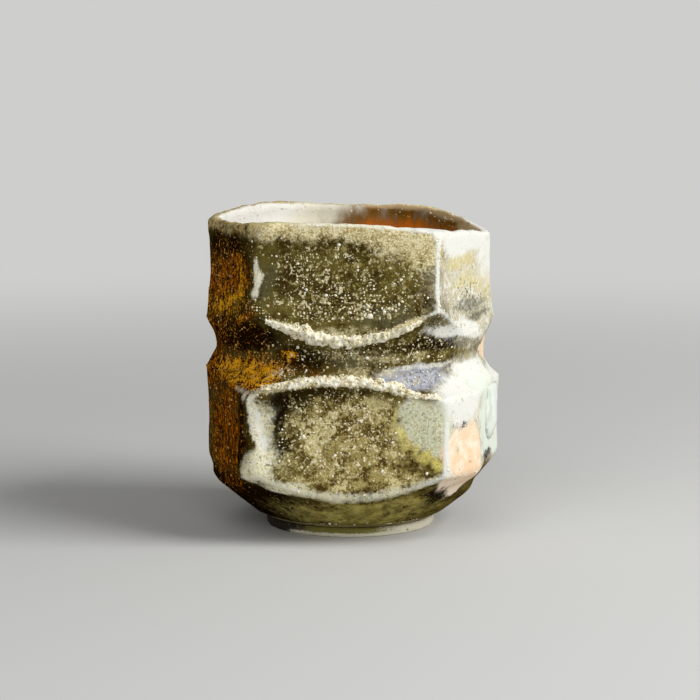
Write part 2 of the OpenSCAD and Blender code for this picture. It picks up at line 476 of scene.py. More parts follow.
# outer ash glaze: its settings, then the soft ovals of each finish
ashSet = {
    "thick": 0.35,
    "tones": {"olive": (114, 102, 50), "shadow": (56, 42, 12), "black": (24, 13, 3), "rust": (168, 90, 6),
              "ember": (250, 178, 32), "sootAndShade": (32, 15, 2), "khaki": (166, 150, 92), "sand": (216, 203, 150),
              "umber": (86, 68, 26), "celadon": (228, 229, 198), "moss": (240, 228, 122), "sheen": (160, 162, 174),
              "peach": (246, 230, 208), "white": (228, 228, 220), "cream": (234, 223, 182), "speck": (242, 231, 190),
              "gold": (226, 168, 56), "coal": (36, 33, 28), "fog": (208, 203, 184), "ochre": (178, 158, 100),
              "blush": (240, 208, 172), "slate": (92, 92, 72), "amber": (192, 124, 20), "jade": (166, 172, 138),
              "glass": (220, 228, 216), "straw": (206, 192, 128), "pale": (238, 234, 200), "stripHighlight": (252, 249, 226)},
    # which side the flame met, the same left side also darkened by painted shade, the right side whose edge lines get
    # a painted highlight, and how ash lies below the lip and along the edges, in degrees and mm
    "soft": 0.5, "left": (-40, -28), "back": (-165, -115), "right": (20, 32), "facing": ((-46, -34), (62, 90)),
    "flameReach": (13, 39.2, 1.7), "flameNear": (0.6, 2.0), "lineNear": (0.35, 1.1),
    "lipBand": 1.3, "lipDrip": 1.1, "dripSize": 3.5, "lipMore": 3.4, "lipMoreTurn": ((-4, 26), (33, 36)),
    "lipFront": 0.9, "lipFrontFrom": -36, "lipFade": (0.4, 1.9, 0.8), "lipShare": 0.95,
    "lipBare": 0.9, "lipBareTurn": ((32, 36), (100, 120)),
    "lipHighlight": (0.3, 1.0), "lipHighlightTurn": ((-30, -8), (100, 130)), "lipHighlightShare": 0.9,
    "inner": (0.1, 0.7), "innerFrom": 50,
    "beside": [(0, 47, 33, 4.6, 1), (-2, 34.6, 36, 3.4, 1)], "besideSoft": 0.2, "besideNear": (0.5, 1.7),
    "besideShare": 0.85, "hem": [(0, 13.4, 38, 4.4, 1)], "hemSoft": 0.15, "hemNear": (0.6, 2.4), "hemShare": 0.7}
ashZones = {
    # near-black glaze, and painted shade: much of the dark on the left, a thin dark line left of the white strip of
    # the lower facet, and dark bands under the lower crust and, on the right, under the upper crust
    "black": [(-64, 62.8, 22, 3.6, 0.85), (-56, 44.4, 30, 3.8, 1), (-21, 40.6, 13, 3.4, 0.7), (39, 43, 20, 1.6, 0.85),
              (12, 42.4, 17, 1.4, 0.55), (-40.2, 23.7, 2.0, 9, 1), (-8, 33.4, 24, 1.3, 0.7), (-23, 31.4, 9, 2.2, 0.85),
              (-26.4, 25.6, 3.2, 7.6, 0.9), (-60, 8.6, 42, 6, 1), (39, 9.4, 9, 2.6, 0.85), (-43, 57, 6, 8, 0.55),
              (-100, 40, 22, 40, 0.6), (180, 30, 50, 30, 0.4), (-20, 57, 10, 5, 0.45), (-8, 51.6, 12, 3, 0.4)],
    "rust": [(-52, 56.4, 13, 5.6, 0.95), (-68, 54, 18, 6.2, 0.9), (-80, 50, 16, 2.6, 0.65), (-54, 36.4, 20, 3.0, 1),
             (-37, 36.2, 10, 2.6, 0.95), (-26, 40.9, 3.6, 1.5, 0.7), (-60, 23, 18, 11, 0.72), (-47, 23, 5, 10, 0.8),
             (-108, 50, 24, 11, 0.75), (-110, 24, 24, 11, 0.65), (75, 14.8, 8, 1.5, 0.8), (-150, 40, 26, 22, 0.5),
             (150, 24, 22, 10, 0.5), (-88, 36, 20, 5, 0.8), (-20, 37.6, 8, 1.4, 0.4), (-92, 38, 34, 26, 0.42)],
    "gold": [(-53, 36.4, 18, 2.6, 1), (-37, 36.2, 9, 2.2, 0.95), (-80, 48.6, 14, 2.4, 0.3), (-46, 55, 5, 5, 0.8),
             (-54, 51.2, 10, 2.2, 0.9), (-66, 49, 14, 1.6, 0.9), (-26, 40.9, 3.2, 1.3, 0.9)],
    "khaki": [(-1, 22.4, 23, 9.4, 0.95), (2, 14.8, 27, 3, 0.85), (4, 27, 16, 5, 0.8),
              (170, 25, 36, 12, 0.7), (175, 56, 30, 10, 0.5)],
    "umber": [(12, 17, 14, 3, 0.4), (-18, 38.4, 14, 2.2, 0.8)],
    # grey glaze, and painted shade: dark borders beside the white strips on the left, a dark band in the waist groove,
    # and a grey line above the white bulge on the right
    "slate": [(-28.4, 25, 2.6, 8.4, 1), (-30.6, 56, 2.6, 4.4, 0.5), (0, 39.4, 16, 1.8, 0.5), (14, 49, 14, 3, 0.45),
              (62, 50, 22, 1.7, 0.55), (69, 47.8, 13, 0.9, 0.75)],
    "fog": [(66, 56, 33, 14, 1), (50, 24, 14, 13, 1), (62, 34, 20, 7, 0.7), (84, 26, 26, 12, 0.8),
            (104, 44, 22, 26, 0.6)],
    "celadon": [(28, 26.3, 7.4, 5.4, 1), (23.4, 30, 4.4, 2.4, 0.95), (32, 22, 4.6, 3, 0.95), (34, 28, 3.4, 5, 0.9),
                (100, 52, 20, 9, 0.5)],
    "moss": [(18.6, 28.4, 0.9, 4, 0.7), (21.2, 23.4, 1.3, 2.6, 0.75), (23.8, 21.2, 1.6, 1.5, 0.75),
             (27.0, 19.5, 3.2, 1.4, 0.95), (32, 17.9, 3.2, 1.3, 0.95), (2, 6.4, 44, 3.4, 0.4),
             (20, 8, 18, 3, 0.42), (190, 14, 34, 7, 0.4)],
    "glass": [(84, 21.4, 13, 6, 1), (68, 27, 11, 10, 1), (60, 34, 8, 4, 0.8)],
    # painted sheen: a blue-grey reflection of the light on the upturned lower flank of the waist groove
    "sheen": [(27, 36, 17, 2.4, 1), (61, 50.6, 20, 1.6, 0.4), (40, 37.0, 10, 1.4, 0.5)],
    "peach": [(41, 18.6, 6.4, 8.0, 1), (49, 18, 6.6, 8.6, 1), (53, 12.6, 6, 4, 0.9), (79, 39.8, 9, 3.6, 0.62),
              (116, 18, 14, 7, 0.8), (120, 40, 16, 6, 0.6)],
    # white glaze, mostly on the right; the narrow strips at the left edges of the front facets, near turn -33, are
    # painted highlight
    "white": [(57, 64.6, 28, 3.2, 1), (84, 60, 14, 6, 0.6), (50, 45.8, 19, 1.7, 1), (60, 36.6, 14, 1.8, 0.85),
              (44, 30.6, 10, 5, 1), (32, 38.3, 18, 0.7, 0.6), (-35, 30.8, 1.7, 2.2, 0.9), (-33.6, 27.2, 2.3, 4.4, 1),
              (-32.8, 22.8, 2.0, 2.8, 0.95), (-33.6, 60.2, 0.9, 1.8, 0.85), (-34.0, 57, 1.3, 2.8, 1),
              (-34.4, 54, 1.4, 1.4, 0.9), (92, 62, 20, 8, 0.7), (84, 32, 18, 5, 0.7), (96, 26, 12, 8, 0.5)],
    # pale ash low on the left, and painted highlight on the strip at the left edge of the lower facet
    "pale": [(-32.4, 17.8, 5.6, 3.8, 1), (-25, 12.6, 8, 1.5, 0.95), (-32.2, 25, 2.5, 6.6, 0.7),
             (-36, 15.6, 3, 2, 0.9)],
    "straw": [(53, 60, 16, 1.8, 0.7), (60, 55.6, 16, 2.4, 0.6), (80, 54, 8, 5, 0.5), (26, 61.5, 6, 2.6, 0.6)],
    "cream": [(21, 40.4, 15, 1.1, 0.36), (0, 41.4, 14, 1.4, 0.3), (-2, 46, 22, 1.2, 0.3), (10, 37.4, 14, 1.2, 0.35)],
    "coal": [(43.4, 26, 7, 0.9, 0.5), (39, 10.6, 6, 1.8, 0.5), (69, 17.2, 8, 1.2, 0.6)],
    "salt": [(58, 51, 22, 3, 0.8), (60, 56, 22, 4, 0.3), (40, 47, 8, 2, 0.6)],
    "ash": [(-2, 56, 34, 10, 0.66), (0, 51, 24, 4, 0.85), (12, 42, 40, 3.4, 0.6), (-42, 37.4, 24, 3.4, 0.8),
            (-4, 24, 27, 10, 0.85), (-60, 54, 26, 12, 0.55), (-52, 44, 24, 3, 0.3), (-70, 24, 30, 14, 0.24),
            (62, 50, 26, 5, 0.4), (30, 36, 20, 2.4, 0.4), (180, 40, 80, 36, 0.45)],
    "still": [(6, 47.2, 16, 1.5, 0.85), (28, 26.4, 7.4, 6, 0.8), (45, 22, 11, 14, 0.9), (-31, 24, 4, 9, 0.85),
              (-32.6, 57, 3, 4.4, 0.85)],
    # pale lines where the glaze breaks over edges; those on the right corner edges of the front facets are painted
    # highlight
    "line": [(33, 57, 5, 12, 1), (0, 14, 42, 3, 0.85), (35.5, 22, 4, 10, 0.9), (42, 31, 9, 4, 0.7),
             (-40, 33, 8, 2, 0.6), (55, 46, 24, 4, 0.8)],
    "flame": [(-70, 49.8, 34, 3.2, 1), (-66, 34, 30, 4, 0.8), (-110, 40, 30, 14, 0.7), (-46, 56, 8, 8, 0.7)]}


def ashMaterial():
    shade = Shade(bpy.data.materials.new("ash glaze"))
    colours = tonesOf(ashSet)
    flameAndShadeSide = shade.paint("left")
    bent = shade.bent(0.6, 1.2)
    grit = shade.clouds(0.38, 2, 0.6)
    fine = shade.clouds(0.85, 4, 0.65)
    cloud = shade.clouds(2.8, 5, 0.62)
    broad = shade.clouds(7.0, 3, 0.5)
    streak = shade.clouds(1.0, 4, 0.66, where=shade.stretched(1.0, 0.55))
    sandy = fine * 0.5 + grit * 0.6
    broken = (cloud - 0.5) * 0.9 + (fine - 0.5) * 0.9 + (grit - 0.5) * 0.6

    def edged(name, breakUp=0.9, hard=0.3):
        # a painted layer with a broken edge
        cover = shade.paint(name)
        return shade.smooth(cover + broken * breakUp, 0.5 - hard, 0.5 + hard) * shade.smooth(cover, 0.0, 0.16)

    # melted ground of the glaze
    colour = shade.mix(shade.smooth(cloud * 0.6 + fine * 0.5, 0.42, 0.74), colours["shadow"], colours["olive"])
    colour = shade.mix(shade.smooth(broad, 0.46, 0.62) * 0.55, colour, colours["olive"])
    colour = shade.mix(edged("slate", 0.7, 0.4), colour, colours["slate"])
    colour = shade.mix(edged("umber", 0.8, 0.4), colour, colours["umber"])
    # near-black glaze, partly painted shade
    colour = shade.mix(edged("black", 0.8, 0.38), colour, colours["black"])

    # flame side: flashing and rust, and painted shade that darkens the left side, away from the light
    colour = shade.mix(flameAndShadeSide * shade.smooth(cloud, 0.36, 0.56) * 0.75, colour, colours["sootAndShade"])
    glowing = shade.paint("gold")
    rustTone = shade.mix(shade.smooth(streak * 0.6 + grit * 0.5, 0.51, 0.61), colours["sootAndShade"], colours["rust"])
    ember = shade.smooth(streak * 0.4 + fine * 0.3 + grit * 0.4 + glowing * 0.1, 0.6, 0.67)
    rustTone = shade.mix(ember * shade.smooth(cloud + glowing * 0.2, 0.42, 0.62), rustTone, colours["ember"])
    charred = 1.0 - shade.smooth(cloud * 0.5 + streak * 0.6, 0.44, 0.58)
    rustTone = shade.mix(charred * 0.6, rustTone, colours["sootAndShade"])
    colour = shade.mix(edged("rust", 1.5, 0.3), colour, rustTone)

    # crowded ash of the lower facet
    crowd = fine * 0.4 + grit * 0.25 + cloud * 0.55 + (shade.clouds(4.2, 3, 0.55, where=bent) - 0.5) * 0.4
    khakiTone = shade.mix(shade.smooth(crowd, 0.5, 0.64), colours["umber"], colours["khaki"])
    khakiTone = shade.mix(shade.smooth(crowd + (broad - 0.5) * 0.4, 0.62, 0.7), khakiTone, colours["sand"])
    colour = shade.mix(edged("khaki", 0.9, 0.45), colour, khakiTone)
    blotch = shade.smooth(shade.clouds(1.7, 4, 0.6, where=bent), 0.55, 0.68)
    colour = shade.mix(blotch * shade.paint("ash") * (1.0 - flameAndShadeSide) * 0.5, colour, colours["khaki"])

    # lit side
    fogTone = shade.mix(shade.smooth(cloud * 0.5 + fine * 0.6, 0.48, 0.68), colours["fog"], colours["ochre"])
    fogTone = shade.mix(shade.smooth(streak * 0.5 + cloud * 0.5, 0.48, 0.58), fogTone, colours["white"])
    colour = shade.mix(edged("fog", 0.7, 0.4), colour, fogTone)
    colour = shade.mix(edged("straw", 1.5, 0.4) * 0.75, colour, colours["straw"])
    celadonTone = shade.mix(shade.smooth(sandy, 0.5, 0.64) * 0.7, colours["celadon"], colours["khaki"])
    celadonTone = shade.mix(shade.flecks(0.7, 0.1, bent) * 0.5, celadonTone, colours["slate"])
    celadonTone = shade.mix(shade.smooth(cloud * 0.6 + broad * 0.5, 0.5, 0.66) * 0.4, celadonTone, colours["jade"])
    celadonTone = shade.mix(shade.flecks(0.5, 0.12) * 0.8, celadonTone, colours["white"])
    colour = shade.mix(edged("celadon", 1.0, 0.5), colour, celadonTone)
    mossTone = shade.mix(shade.smooth(sandy, 0.48, 0.66), colours["moss"], colours["ochre"])
    colour = shade.mix(edged("moss", 1.3, 0.5) * 0.85, colour, mossTone)
    # painted sheen, blue-grey, with white grains
    sheenTone = shade.mix(shade.smooth(sandy, 0.5, 0.68), colours["sheen"], colours["slate"])
    sheenTone = shade.mix(shade.flecks(0.6, 0.05, bent), sheenTone, colours["white"])
    colour = shade.mix(edged("sheen", 0.8, 0.36), colour, sheenTone)
    peachTone = shade.mix(shade.smooth(cloud * 0.7 + broad * 0.4, 0.46, 0.64), colours["peach"], colours["blush"])
    peachTone = shade.mix(shade.specks(1.5, 0.22, bent) * 0.8, peachTone, colours["coal"])
    colour = shade.mix(edged("peach", 0.6, 0.16), colour, peachTone)
    paleTone = shade.mix(shade.smooth(sandy, 0.52, 0.64) * 0.6, colours["pale"], colours["khaki"])
    paleTone = shade.mix(shade.flecks(0.8, 0.09, bent) * 0.7, paleTone, colours["umber"])
    paleTone = shade.mix(shade.flecks(0.55, 0.13), paleTone, colours["white"])
    colour = shade.mix(edged("pale", 1.2, 0.4), colour, paleTone)
    glassTone = shade.mix(shade.smooth(cloud, 0.5, 0.7) * 0.5, colours["glass"], colours["celadon"])
    colour = shade.mix(edged("glass", 0.4, 0.3), colour, glassTone)
    whiteTone = shade.mix(shade.smooth(streak * 0.6 + fine * 0.5, 0.58, 0.78), colours["white"], colours["fog"])
    # painted highlight: on the shaded left the white strips are brightened towards a warm white
    shaded = shade.smooth(flameAndShadeSide, 0.1, 0.5)
    whiteTone = shade.mix(shaded * 0.85, whiteTone, colours["stripHighlight"])
    grainy = shade.smooth(sandy, 0.5, 0.62) * shaded
    whiteTone = shade.mix(grainy * 0.45, whiteTone, colours["khaki"])
    colour = shade.mix(edged("white", flameAndShadeSide + 0.8, 0.34), colour, whiteTone)
    # painted shade: the grey line above the white bulge on the right
    colour = shade.mix(edged("slate", 0.7, 0.4) * shade.paint("fog"), colour, colours["slate"])
    salt = shade.paint("salt")
    salted = shade.flecks(0.75, salt * 0.18 - 0.02, bent) * shade.smooth(salt, 0.05, 0.3)
    colour = shade.mix(salted, colour, colours["slate"])

    # crust of ash below the lip and along some edges, more ochre and darker on the left, partly painted shade
    lumpy = shade.smooth(grit * 0.5 + fine * 0.3 + cloud * 0.3, 0.46, 0.64)
    creamTone = shade.mix(lumpy, colours["ochre"], colours["cream"])
    creamTone = shade.mix(shade.smooth(grit, 0.56, 0.68), creamTone, colours["speck"])
    creamTone = shade.mix(flameAndShadeSide * 0.45, creamTone, colours["ochre"])
    leftDarkening = flameAndShadeSide * shade.smooth(fine * 0.5 + cloud * 0.5, 0.46, 0.58)
    creamTone = shade.mix(leftDarkening, creamTone, colours["umber"])
    colour = shade.mix(edged("cream", 1.0, 0.4), colour, creamTone)
    # pale edge lines, whiter on the lit right side: partly painted highlight
    line = edged("line", 0.8, 0.45)
    whiter = shade.smooth(grit + shade.paint("right") * 0.3, 0.42, 0.58)
    lineAndHighlightTone = shade.mix(whiter, colours["cream"], colours["white"])
    colour = shade.mix(line, colour, lineAndHighlightTone)

    # grains of ash, golden on the flame side
    cover = shade.paint("ash") * (cloud * 0.3 + 0.02)
    small = shade.flecks(0.5, cover, bent)
    middle = shade.flecks(0.9, cover * 0.85, bent)
    large = shade.flecks(1.7, cover * 0.6, bent)
    beads = shade.specks(0.85, cover * 3.0, bent)
    bright = shade.mix(flameAndShadeSide, colours["speck"], colours["gold"])
    dustTone = shade.mix(flameAndShadeSide, colours["khaki"], colours["amber"])
    speckTone = shade.mix(shade.smooth(shade.clouds(1.3, 2, 0.5, where=bent), 0.44, 0.56), dustTone, bright)
    dust = shade.mix(0.35, speckTone, dustTone)
    colour = shade.mix(large * 0.5, colour, shade.mix(shade.smooth(fine, 0.4, 0.6), dustTone, dust))
    colour = shade.mix(small * 0.7, colour, dust)
    colour = shade.mix(middle * 0.75, colour, speckTone)
    colour = shade.mix(beads * 0.9, colour, bright)
    colour = shade.mix(edged("coal", 1.2, 0.24), colour, colours["coal"])
    colour = shade.mix(shade.paint("inner"), colour, linerColour(shade))

    melted = shade.paint("white") + shade.paint("sheen") + shade.paint("celadon") + shade.paint("glass")
    gloss = shade.smooth(melted, 0.2, 0.9)
    bare = shade.smooth(shade.paint("peach"), 0.3, 0.7)
    rough = 0.5 - gloss * 0.16 + bare * 0.3 + (small + middle) * 0.1 + (grit - 0.5) * 0.5
    rise = grit * 0.5 + fine * 0.5 + cloud * 0.4 + small * 0.3 + middle * 0.5 + large * 0.4 + beads * 0.5 + line * 0.5
    return shade.finish(colour, rough, rise * (1.0 - gloss * 0.5), 0.2, coat=gloss * 0.25, specular=0.0)


ashCoat = keepPiece("ash_coat", coatOf(1), "ash_glaze", ashMaterial())
spots, spotTurn, spotHeight, gaps = skinPaint(ashCoat)
ashPaint = {name: ovals(spotTurn, spotHeight, zone, ashSet["soft"]) for name, zone in ashZones.items()}
ashPaint["ash"] = ashPaint["ash"] * (1 - ashPaint["still"])
reach, level, spread = ashSet["flameReach"]
flameReach = reach * np.exp(-((spotHeight - level) / spread) ** 2)
ashPaint["left"] = (1 - step(spotTurn - flameReach, *ashSet["left"])) * step(spotTurn, *ashSet["back"])
ashPaint["right"] = step(spotTurn, *ashSet["right"])
# ash lies thick under the lip and thins out downwards, further at the front right
lipDrop = lipTop - np.array([lipFall(Vector(p)) for p in spots]) - spots[:, 2] / mm
drip = np.array([roughness(Vector((p[0], p[1], 0)), ashSet["dripSize"], 91.0) for p in spots])
band = ashSet["lipBand"] + ashSet["lipDrip"] * drip + ashSet["lipMore"] * span(spotTurn, *ashSet["lipMoreTurn"])
band += ashSet["lipFront"] * (spotTurn > ashSet["lipFrontFrom"])
fadeFrom, fadeTo, fadeMore = ashSet["lipFade"]
lipBand = 1 - step(lipDrop, band * fadeFrom, band * fadeTo + fadeMore)
lipBand *= 1 - ashSet["lipBare"] * span(spotTurn, *ashSet["lipBareTurn"])
ashPaint["cream"] = np.maximum(ashPaint["cream"], lipBand * ashSet["lipShare"])
normals = np.array([vert.normal for vert in ashCoat.data.vertices])
inward = -(normals[:, 0] * spots[:, 0] + normals[:, 1] * spots[:, 1]) / np.hypot(spots[:, 0], spots[:, 1])
ashPaint["inner"] = step(inward, *ashSet["inner"]) * (spotHeight > ashSet["innerFrom"])
for name in linerLayers:
    ashPaint[name] = ovals(*turnOf(spots), linerSet[name], linerSet["soft"])
# ash gathers beside the crusts, and pale lines run along some edges, partly painted highlight, rusty ones on the left;
# a painted highlight also runs along the top of the lip
edgeLine = 1 - step(gaps, *ashSet["lineNear"])
beside = ovals(spotTurn, spotHeight, ashSet["beside"], ashSet["besideSoft"]) * (1 - step(gaps, *ashSet["besideNear"]))
ashPaint["cream"] = np.maximum(ashPaint["cream"], beside * ashSet["besideShare"])
hem = ovals(spotTurn, spotHeight, ashSet["hem"], ashSet["hemSoft"]) * (1 - step(gaps, *ashSet["hemNear"]))
ashPaint["pale"] = np.maximum(ashPaint["pale"], hem * ashSet["hemShare"])
ashPaint["line"] = ashPaint["line"] * edgeLine
# painted highlight along the top of the lip
lipHighlight = (1 - step(lipDrop, *ashSet["lipHighlight"])) * span(spotTurn, *ashSet["lipHighlightTurn"])
ashPaint["line"] = np.maximum(ashPaint["line"], lipHighlight * ashSet["lipHighlightShare"])
ashPaint["rust"] = np.maximum(ashPaint["rust"], ashPaint["flame"] * (1 - step(gaps, *ashSet["flameNear"])))
facing = span(spotTurn, *ashSet["facing"])
storePaint(ashCoat, ashPaint)
thicken(ashCoat, ashSet["thick"])
print("ash coat", len(ashCoat.data.polygons), "faces")


# coat on the inside
def linerMaterial():
    shade = Shade(bpy.data.materials.new("liner glaze"))
    fine = shade.clouds(0.7, 3)
    cloud = shade.clouds(4.0, 4)
    return shade.finish(linerColour(shade), 0.22 + fine * 0.12, fine * 0.4 + cloud * 0.6, 0.1, specular=0.1)


linerCoat = keepPiece("liner_coat", coatOf(2), "liner_glaze", linerMaterial())
_, spotTurn, spotHeight, _ = skinPaint(linerCoat, warp=2.0, loose=0.0)
storePaint(linerCoat, {name: ovals(spotTurn, spotHeight, linerSet[name], linerSet["soft"]) for name in linerLayers})
thicken(linerCoat, linerSet["thick"])
print("liner coat", len(linerCoat.data.polygons), "faces")

# the clay under the coats, which shows inside the foot ring and just above it
claySet = {"voxel": 0.8, "rounds": 2,
           "tones": {"clay": (160, 144, 96), "flash": (124, 108, 60), "spot": (64, 52, 34)}}


def clayMaterial():
    shade = Shade(bpy.data.materials.new("bare clay"))
    tones = tonesOf(claySet)
    cloud = shade.clouds(7.0, 4)
    fine = shade.clouds(0.6, 4)
    colour = shade.mix(shade.smooth(cloud, 0.38, 0.62), tones["clay"], tones["flash"])
    colour = shade.mix(shade.specks(1.6, 0.35) * 0.8, colour, tones["spot"])
    return shade.finish(colour, 0.72 + fine * 0.2, fine + cloud * 0.5, 0.15)


clay = warped(evenMesh(looseCopy("stoneware_body"), claySet["voxel"]))
soften(clay, claySet["rounds"])
clayWall = keepPiece("clay_wall", clay, "stoneware_body", clayMaterial())
print("clay wall", len(clayWall.data.polygons), "faces")

# foot ring; the dark on its left is painted shade, and the same tone also colours small specks
footSet = {"voxel": 0.4, "rounds": 3, "chip": 0.16, "chipSize": 2.4, "grit": 0.05, "gritSize": 0.9,
           "olive": [(-10, 1, 40, 6, 0.8), (170, 1, 60, 6, 0.6)], "oliveSoft": 0.9,
           "shadeAndSpecks": [(-72, 1, 44, 6, 1)], "shadeAndSpecksSoft": 0.8, "edge": (0.4, 1.5), "edgeFrom": (-60, -34),
           "tones": {"bisque": (228, 222, 198), "olive": (128, 120, 50), "shadeAndSpecks": (36, 28, 10)}}


def footMaterial():
    shade = Shade(bpy.data.materials.new("foot clay"))
    tones = tonesOf(footSet)
    cloud = shade.clouds(3.0, 4)
    fine = shade.clouds(0.45, 4)
    grain = cloud * 0.5 + fine * 0.6
    stained = shade.smooth(grain + shade.paint("olive") * 0.9 - 0.55, 0.3, 0.62)
    colour = shade.mix(stained, tones["bisque"], tones["olive"])
    # painted shade on the left of the foot, where it lies in shadow
    colour = shade.mix(shade.smooth(shade.paint("shadeAndSpecks") + (cloud - 0.5) * 0.8, 0.4, 0.8), colour, tones["shadeAndSpecks"])
    colour = shade.mix(shade.smooth(shade.paint("edge") + (grain - 0.55) * 1.6, 0.4, 0.8), colour, tones["bisque"])
    colour = shade.mix(shade.specks(0.9, 0.35) * 0.6, colour, tones["shadeAndSpecks"])
    return shade.finish(colour, 0.7 + fine * 0.2, fine, 0.14)


foot = evenMesh(looseCopy("foot_ring"), footSet["voxel"])
soften(foot, footSet["rounds"])
foot.normal_update()
for vert in foot.verts:
    chip = footSet["chip"] * roughness(vert.co, footSet["chipSize"], 41.0)
    chip += footSet["grit"] * roughness(vert.co, footSet["gritSize"], 43.0)
    out = Vector((vert.normal.x, vert.normal.y, 0))
    vert.co += out * (chip * mm)
footRing = keepPiece("foot", foot, "foot_ring", footMaterial())
spots, spotTurn, spotHeight, _ = skinPaint(footRing)
storePaint(footRing, {
    "olive": ovals(spotTurn, spotHeight, footSet["olive"], footSet["oliveSoft"]),
    "shadeAndSpecks": ovals(spotTurn, spotHeight, footSet["shadeAndSpecks"], footSet["shadeAndSpecksSoft"]),
    "edge": (1 - step(spots[:, 2] / mm, *footSet["edge"])) * step(spotTurn, *footSet["edgeFrom"])})
print("foot", len(footRing.data.polygons), "faces")

# rough beads of half-melted ash
crustSet = {"voxel": 0.2, "rounds": 2, "swell": -0.2, "lump": 0.55, "lumpSize": 1.2, "grit": 0.5, "gritSize": 0.62,
            "clump": 0.6, "clumpSize": 3.2, "fade": 7.0, "thin": 0.75, "narrow": (0.7, 1.9), "sink": 1.0,
            "press": 0.3, "shift": (1.37, 0.61, 0.83),
            "gapFrom": (1, 9), "gapCut": 0.7, "gapWave": 1.5, "gapSize": 1.8, "endFrom": (12, 18), "endSink": 1.5,
            "tones": {"ash": (246, 242, 222), "cream": (224, 212, 170), "pit": (112, 92, 50)},
            "broken": {"upper_ash_crust": 1.0, "lower_ash_crust": 0.0},
            "thick": {"upper_ash_crust": (-8, 8, 0.4), "lower_ash_crust": (-2, 10, 0.12)}}


def crustMaterial():
    shade = Shade(bpy.data.materials.new("ash crust"))
    tones = tonesOf(crustSet)
    cloud = shade.clouds(1.4, 4)
    fine = shade.clouds(0.4, 4)
    colour = shade.mix(shade.smooth(cloud + fine * 0.4, 0.55, 0.85), tones["cream"], tones["ash"])
    colour = shade.mix(shade.smooth(fine * 0.8 + cloud * 0.4, 0.45, 0.56), tones["pit"], colour)
    return shade.finish(colour, 0.6 + fine * 0.25, fine + cloud, 0.2)


crustMaterialMade = crustMaterial()


def crustPiece(name, replaced):
    crust = warped(evenMesh(looseCopy(replaced), crustSet["voxel"]))
    soften(crust, crustSet["rounds"])
    crust.normal_update()
    low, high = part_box(replaced)
    middle, reach, amount = crustSet["thick"][replaced]
    for vert in crust.verts:
        fromEnd = min(vert.co.x - low.x, high.x - vert.co.x) / mm
        share = float(step(fromEnd, 0, crustSet["fade"]))
        spot = vert.co + Vector(crustSet["shift"]) * mm
        lift = crustSet["swell"] + crustSet["lump"] * roughness(spot, crustSet["lumpSize"], 51.0)
        lift += crustSet["grit"] * roughness(spot, crustSet["gritSize"], 53.0)
        lift += crustSet["clump"] * roughness(spot, crustSet["clumpSize"], 55.0, 1)
        lift -= (1 - share) * crustSet["thin"]
        lift += amount * math.exp(-((vert.co.x / mm - middle) / reach) ** 2)
        # the right half of the upper bead is broken
        gone = crustSet["broken"][replaced] * float(step(vert.co.x / mm, *crustSet["gapFrom"]))
        gapWave = crustSet["gapWave"] * roughness(Vector((spot.x, 0, 0)), crustSet["gapSize"], 57.0)
        lift -= gone * (crustSet["gapCut"] + gapWave)
        # and its end sinks into the wall
        buried = crustSet["broken"][replaced] * float(step(vert.co.x / mm, *crustSet["endFrom"]))
        lift *= 1 - buried
        sink = crustSet["sink"] * float(step(edgeTree.find(vert.co)[2] / mm, *crustSet["narrow"]))
        inwards = sink + crustSet["press"] + crustSet["endSink"] * buried
        vert.co += vert.normal * (lift * mm) + Vector((0, inwards * mm, 0))
    crust = evenMesh(crust, crustSet["voxel"])
    soften(crust, 1)
    return keepPiece(name, crust, replaced, crustMaterialMade)


upperCrust = crustPiece("upper_crust", "upper_ash_crust")
lowerCrust = crustPiece("lower_crust", "lower_ash_crust")
print("crusts", len(upperCrust.data.polygons), len(lowerCrust.data.polygons), "faces")

# thick tear of glass
runSet = {"voxel": 0.35, "swell": 0.15, "wave": 0.12, "waveSize": 4.0, "rounds": 4, "drop": (17.6, 19.6),
          "tones": {"ice": (228, 234, 224), "celadon": (186, 198, 176), "drop": (96, 88, 58)}}


def runMaterial():
    shade = Shade(bpy.data.materials.new("run glass"))
    tones = tonesOf(runSet)
    flow = shade.clouds(2.4, 3, where=shade.stretched(1.0, 0.3))
    fine = shade.clouds(0.6, 3)
    colour = shade.mix(shade.smooth(flow, 0.4, 0.7), tones["ice"], tones["celadon"])
    colour = shade.mix(shade.smooth(shade.paint("drop") + (fine - 0.5) * 0.5, 0.4, 0.8), colour, tones["drop"])
    return shade.finish(colour, 0.14 + fine * 0.1, fine * 0.4 + flow * 0.6, 0.08, coat=0.6, coatRough=0.05)


run = warped(evenMesh(looseCopy("glaze_run"), runSet["voxel"]))
soften(run, runSet["rounds"])
run.normal_update()
for vert in run.verts:
    lift = runSet["swell"] + runSet["wave"] * roughness(vert.co, runSet["waveSize"], 61.0)
    vert.co += vert.normal * (lift * mm)
glassRun = keepPiece("glass_run", run, "glaze_run", runMaterial())
_, _, spotHeight, _ = skinPaint(glassRun)
storePaint(glassRun, {"drop": 1 - step(spotHeight, *runSet["drop"])})
print("glass run", len(glassRun.data.polygons), "faces")

# grains of feldspar: the large ones where the solids are, and many small ones where the ash lies
grainSet = {"count": 4600, "small": (0.06, 0.19), "sizes": (1, 1, 1, 1, 1.4, 2), "flat": 0.55, "uneven": (0.7, 1.3),
            "spin": 6.28, "seed": 5, "batch": 2520, "large": 0.55, "setIn": 0.5, "chips": 7, "chipSize": (0.15, 0.42),
            "bend": 0.4, "bendSize": 1.1, "trail": [(-36.5, 51, 5, 1.3, 1)], "trailShare": 3.0, "edgeShare": 0.5,
            "besideShare": 6.0, "patch": 0.25, "patchSize": 5, "sheenShare": 0.9,
            "tones": {"milk": (246, 242, 226), "straw": (226, 208, 150), "gold": (206, 150, 56)}}


